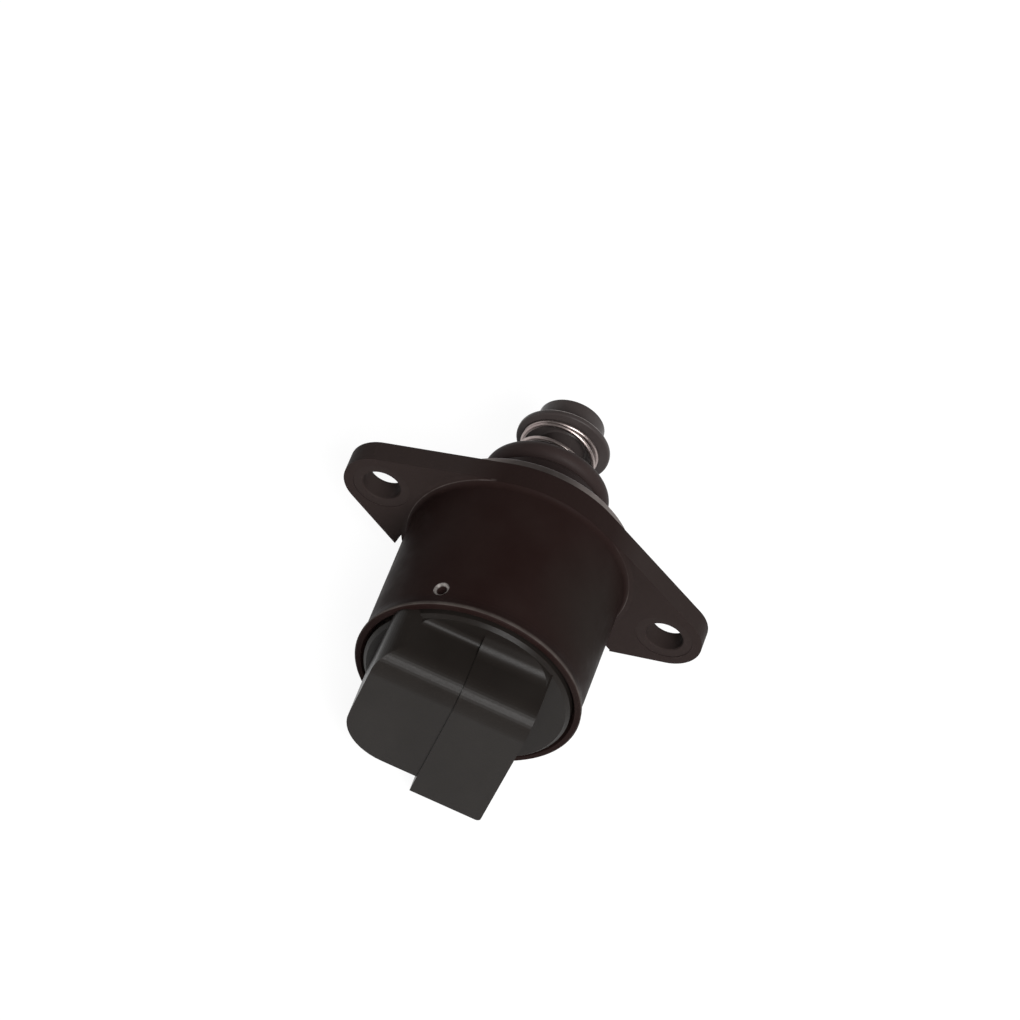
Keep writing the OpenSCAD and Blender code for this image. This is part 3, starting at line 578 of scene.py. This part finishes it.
spring_steel = add_steel("spring_steel", (0.30, 0.24, 0.23), (0.44, 0.38, 0.36), 0.36, 0.25 * mm,
                         depth=0.004 * mm)
spring_mesh = bmesh.new()
wire_rings = []
count = int(coil_turns * steps_per_turn)
for i in range(count + 1):
    turned = i * coil_turns / count
    turn = wire_end_turn + 2 * math.pi * (coil_turns - turned)
    height = smooth_coil_height(turned) - coil_lean * open_part(turned) * math.sin(turn)
    thick = wire / 2 * (1.0 if 0 < i < count else end_taper)
    wire_ring = []
    for k in range(wire_sides):
        around = 2 * math.pi * k / wire_sides
        out = coil_radius + thick * math.cos(around)
        wire_ring.append(spring_mesh.verts.new((out * math.sin(turn) + coil_aside,
                                                height + thick * math.sin(around),
                                                out * math.cos(turn))))
    wire_rings.append(wire_ring)
for low, high in zip(wire_rings, wire_rings[1:]):
    for k in range(wire_sides):
        after = (k + 1) % wire_sides
        spring_mesh.faces.new((low[k], high[k], high[after], low[after]))
spring_mesh.faces.new(wire_rings[0])
spring_mesh.faces.new(wire_rings[-1])
coil = finish_mesh("wire_coil", spring_mesh, spring_steel, 50)
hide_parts("pintle_spring")
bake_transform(coil)


# Pintle: a dark moulding with a boss pressed on the screw, a thin collar that the spring bears
# on, and the tip that closes the air passage. The collar's edges are rounded, and a painted highlight lies
# along the front one.
boss_back = 15.0 * mm
boss_radius = 3.4 * mm
collar_radius = 7.0 * mm
collar_front = 19.6 * mm
tip_radius = 4.95 * mm
tip_front = 23.6 * mm
boss_corner = 0.25 * mm
back_corner = 0.3 * mm
front_corner = 0.4 * mm
tip_corner = 0.3 * mm
head_steps = 96
corner_steps = 6


def quarter_round(height, radius, size, start):
    """Stations a quarter way round a corner of the given size, from an angle in degrees on."""
    turns = [math.radians(start + 90 * i / corner_steps) for i in range(corner_steps + 1)]
    return [(height + size * math.sin(turn), radius + size * math.cos(turn)) for turn in turns]


pintle_plastic = add_plastic("pintle_plastic", (0.0420, 0.0335, 0.0320), (0.0500, 0.0410, 0.0395),
                             0.36, 0.25 * mm, 0.010 * mm, 0.12)
pintle_colour = pintle_plastic.node_tree.nodes["Principled BSDF"].inputs["Base Color"]
# painted highlight: a light ring on the collar's rounded front edge, broken up by a cloud
collar_highlight = spread(pintle_plastic, distance_from_axis(pintle_plastic), 0.0, 1.0,
                 collar_radius - 0.50 * mm, collar_radius - 0.30 * mm)
collar_highlight = calculate(pintle_plastic, "MULTIPLY", collar_highlight,
                    spread(pintle_plastic, height_along_axis(pintle_plastic), 0.0, 1.0,
                           collar_front - 0.34 * mm, collar_front - 0.18 * mm))
collar_highlight = calculate(pintle_plastic, "MULTIPLY", collar_highlight,
                    spread(pintle_plastic, cloud(pintle_plastic, 2 * mm), 0.3, 1.0, 0.35, 0.6))
plain_colour = pintle_colour.links[0].from_socket
feed(pintle_plastic, choose(pintle_plastic, collar_highlight, plain_colour, (0.42, 0.37, 0.355)), pintle_colour)
hole_floor = screw_tip + 0.02 * mm
hole_radius = press_radius + 0.02 * mm
head_line = [(hole_floor, end_core), (hole_floor, hole_radius), (boss_back, hole_radius),
             (boss_back, boss_radius - boss_corner), (boss_back + boss_corner, boss_radius),
             (collar_back - 0.2 * mm, boss_radius), (collar_back, boss_radius + 0.2 * mm)]
head_line += quarter_round(collar_back + back_corner, collar_radius - back_corner, back_corner, -90)
head_line += quarter_round(collar_front - front_corner, collar_radius - front_corner, front_corner, 0)
head_line += [(collar_front + 0.1 * mm, tip_radius + 0.3 * mm), (collar_front + 0.4 * mm, tip_radius)]
head_line += quarter_round(tip_front - tip_corner, tip_radius - tip_corner, tip_corner, 0)
head_line.append((tip_front, end_core))
head_mesh = bmesh.new()
head_rings = add_rings(head_mesh, [(height, [radius] * head_steps) for height, radius in head_line])
head_mesh.faces.new(head_rings[0])
head_mesh.faces.new(head_rings[-1])
valve_head = finish_mesh("valve_head", head_mesh, pintle_plastic, 35)
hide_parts("pintle")
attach(valve_head, "pintle_slider")


# Terminal board: glass-fibre laminate behind the stator, which joins the winding ends to the
# blades. The weave shows through its green lacquer.
board_laminate, board = start_material("board_laminate", 0.38, 0.0, 0.4)
weave_size = 0.8 * mm
weave = add_node(board_laminate, "ShaderNodeTexChecker")
weave.inputs["Scale"].default_value = 1.0 / weave_size
feed(board_laminate, place_in_piece(board_laminate), weave.inputs["Vector"])
weave_mix = spread(board_laminate, weave.outputs["Fac"], 0.35, 0.65, 0.0, 1.0)
cloudy = spread(board_laminate, cloud(board_laminate, 0.5 * mm), 0.0, 1.0)
feed(board_laminate, choose(board_laminate, calculate(board_laminate, "MULTIPLY", weave_mix, cloudy),
                            (0.040, 0.130, 0.042), (0.075, 0.190, 0.065)), board.inputs["Base Color"])
relief(board_laminate, board, weave.outputs["Fac"], 0.01 * mm, 0.4)
dress("terminal_board", board_laminate, 0.05 * mm, 2)


# Terminals: four blades blanked and bent from tinned brass strip. The cap is moulded round them,
# and they lead from the board to the connector's socket.
tinned_brass = add_steel("tinned_brass", (0.62, 0.60, 0.53), (0.72, 0.70, 0.64), 0.27, 0.12 * mm,
                         (0.15, 0.15, 1.0))
for number in range(1, 5):
    dress("terminal_" + str(number), tinned_brass, 0.06 * mm, 2)


# Rear bush: sintered bronze with oil in its pores, in which the rotor's rear journal turns. A
# thrust washer of hard steel lies in front of it.
sintered_bronze, bronze = start_material("sintered_bronze", 0.45, 0.9, 0.5)
pores = add_node(sintered_bronze, "ShaderNodeTexVoronoi")
pores.inputs["Scale"].default_value = 1.0 / (0.16 * mm)
feed(sintered_bronze, place_in_piece(sintered_bronze), pores.inputs["Vector"])
open_pores = spread(sintered_bronze, pores.outputs["Distance"], 0.0, 1.0, 0.1, 0.35)
feed(sintered_bronze, choose(sintered_bronze, open_pores, (0.10, 0.06, 0.02), (0.44, 0.29, 0.11)),
     bronze.inputs["Base Color"])
relief(sintered_bronze, bronze, open_pores, 0.02 * mm, 0.6)
dress("rear_bush", sintered_bronze, 0.06 * mm, 2)
washer_steel = add_steel("washer_steel", (0.50, 0.51, 0.52), (0.60, 0.61, 0.62), 0.2, 0.06 * mm)
dress("thrust_washer", washer_steel)


# End cap: cap, closed base and shroud in one dark grey moulding, with the fine matt skin of a
# spark-eroded mould. The can's stakes hold it. The field on its back where such parts carry
# raised marks is left bare.
connector_plastic, connector = start_material("connector_plastic", 0.34, 0.0, 0.11)
flow_marks = spread(connector_plastic, cloud(connector_plastic, 8 * mm, 4.0, (1.0, 0.5, 0.6)), 0.0, 1.0)
cap_colour = choose(connector_plastic, flow_marks, (0.0110, 0.0089, 0.0076), (0.0144, 0.0120, 0.0105))
feed(connector_plastic, cap_colour, connector.inputs["Base Color"])
mould_skin = cloud(connector_plastic, 0.22 * mm, 2.0)
feed(connector_plastic, spread(connector_plastic, mould_skin, 0.29, 0.40), connector.inputs["Roughness"])
relief(connector_plastic, connector, mould_skin, 0.012 * mm, 0.6)
dress("end_cap", connector_plastic, 0.22 * mm, 3)


# Studio: a white bowl stands round the valve, a soft lamp hangs just under the camera's line of
# sight with a weaker one to the right, and a dim room lies above. The bowl shows white and keeps
# a soft shadow.
floor_low = -17.5 * mm
bowl_radius = 1.4
bowl_wall = 0.35
bowl_corner = 0.28
bowl_corner_steps = 8
bowl_sides = 64
glow_strength = 1.08
glow_share = 0.86
bowl_profile = [(0.0, 0.0), (bowl_radius - bowl_corner, 0.0)]
for i in range(1, bowl_corner_steps + 1):
    rise = math.pi / 2 * i / bowl_corner_steps
    bowl_profile.append((bowl_radius - bowl_corner + bowl_corner * math.sin(rise),
                         bowl_corner * (1 - math.cos(rise))))
bowl_profile.append((bowl_radius, bowl_wall))
bowl_mesh = bmesh.new()
bowl_rings = []
for radius, height in bowl_profile[1:]:
    bowl_rings.append([bowl_mesh.verts.new((radius * math.cos(2 * math.pi * k / bowl_sides),
                                            radius * math.sin(2 * math.pi * k / bowl_sides),
                                            floor_low + height)) for k in range(bowl_sides)])
bowl_mesh.faces.new(bowl_rings[0])
for low, high in zip(bowl_rings, bowl_rings[1:]):
    for k in range(bowl_sides):
        after = (k + 1) % bowl_sides
        bowl_mesh.faces.new((low[k], high[k], high[after], low[after]))
for face in bowl_mesh.faces:
    face.smooth = len(face.verts) == 4
bowl_data = bpy.data.meshes.new("white_bowl")
bowl_mesh.to_mesh(bowl_data)
bowl_mesh.free()
bowl = bpy.data.objects.new("white_bowl", bowl_data)
scene.collection.objects.link(bowl)
white_paper, paper = start_material("white_paper", 0.9, 0.0, 0.1)
paper.inputs["Base Color"].default_value = (0.85, 0.85, 0.85, 1)
glow = add_node(white_paper, "ShaderNodeEmission")
glow.inputs["Strength"].default_value = glow_strength
path = add_node(white_paper, "ShaderNodeLightPath")
seen = calculate(white_paper, "MAXIMUM", path.outputs["Is Camera Ray"], path.outputs["Is Glossy Ray"])
seen = calculate(white_paper, "MAXIMUM", seen, path.outputs["Is Transmission Ray"])
paper_mix = add_node(white_paper, "ShaderNodeMixShader")
feed(white_paper, calculate(white_paper, "MULTIPLY", seen, glow_share), paper_mix.inputs["Fac"])
feed(white_paper, paper.outputs["BSDF"], paper_mix.inputs[1])
feed(white_paper, glow.outputs["Emission"], paper_mix.inputs[2])
feed(white_paper, paper_mix.outputs[0], white_paper.node_tree.nodes["Material Output"].inputs["Surface"])
bowl_data.materials.append(white_paper)

world = bpy.data.worlds.new("dim_room")
world.use_nodes = True
world.node_tree.nodes["Background"].inputs["Color"].default_value = (1.0, 0.98, 0.96, 1)
world.node_tree.nodes["Background"].inputs["Strength"].default_value = 0.16
scene.world = world


def soft_lamp(name, direction, distance, size, power):
    data = bpy.data.lights.new(name, "AREA")
    data.shape = "SQUARE"
    data.size = size
    data.energy = power
    lamp = bpy.data.objects.new(name, data)
    scene.collection.objects.link(lamp)
    away = Vector(direction).normalized()
    lamp.location = away * distance
    lamp.rotation_mode = "QUATERNION"
    lamp.rotation_quaternion = away.to_track_quat("Z", "Y")


soft_lamp("front_lamp", (0.16, -0.64, 0.75), 1.15, 0.55, 16.0)
soft_lamp("side_lamp", (0.62, 0.58, 0.52), 1.3, 1.0, 2.6)
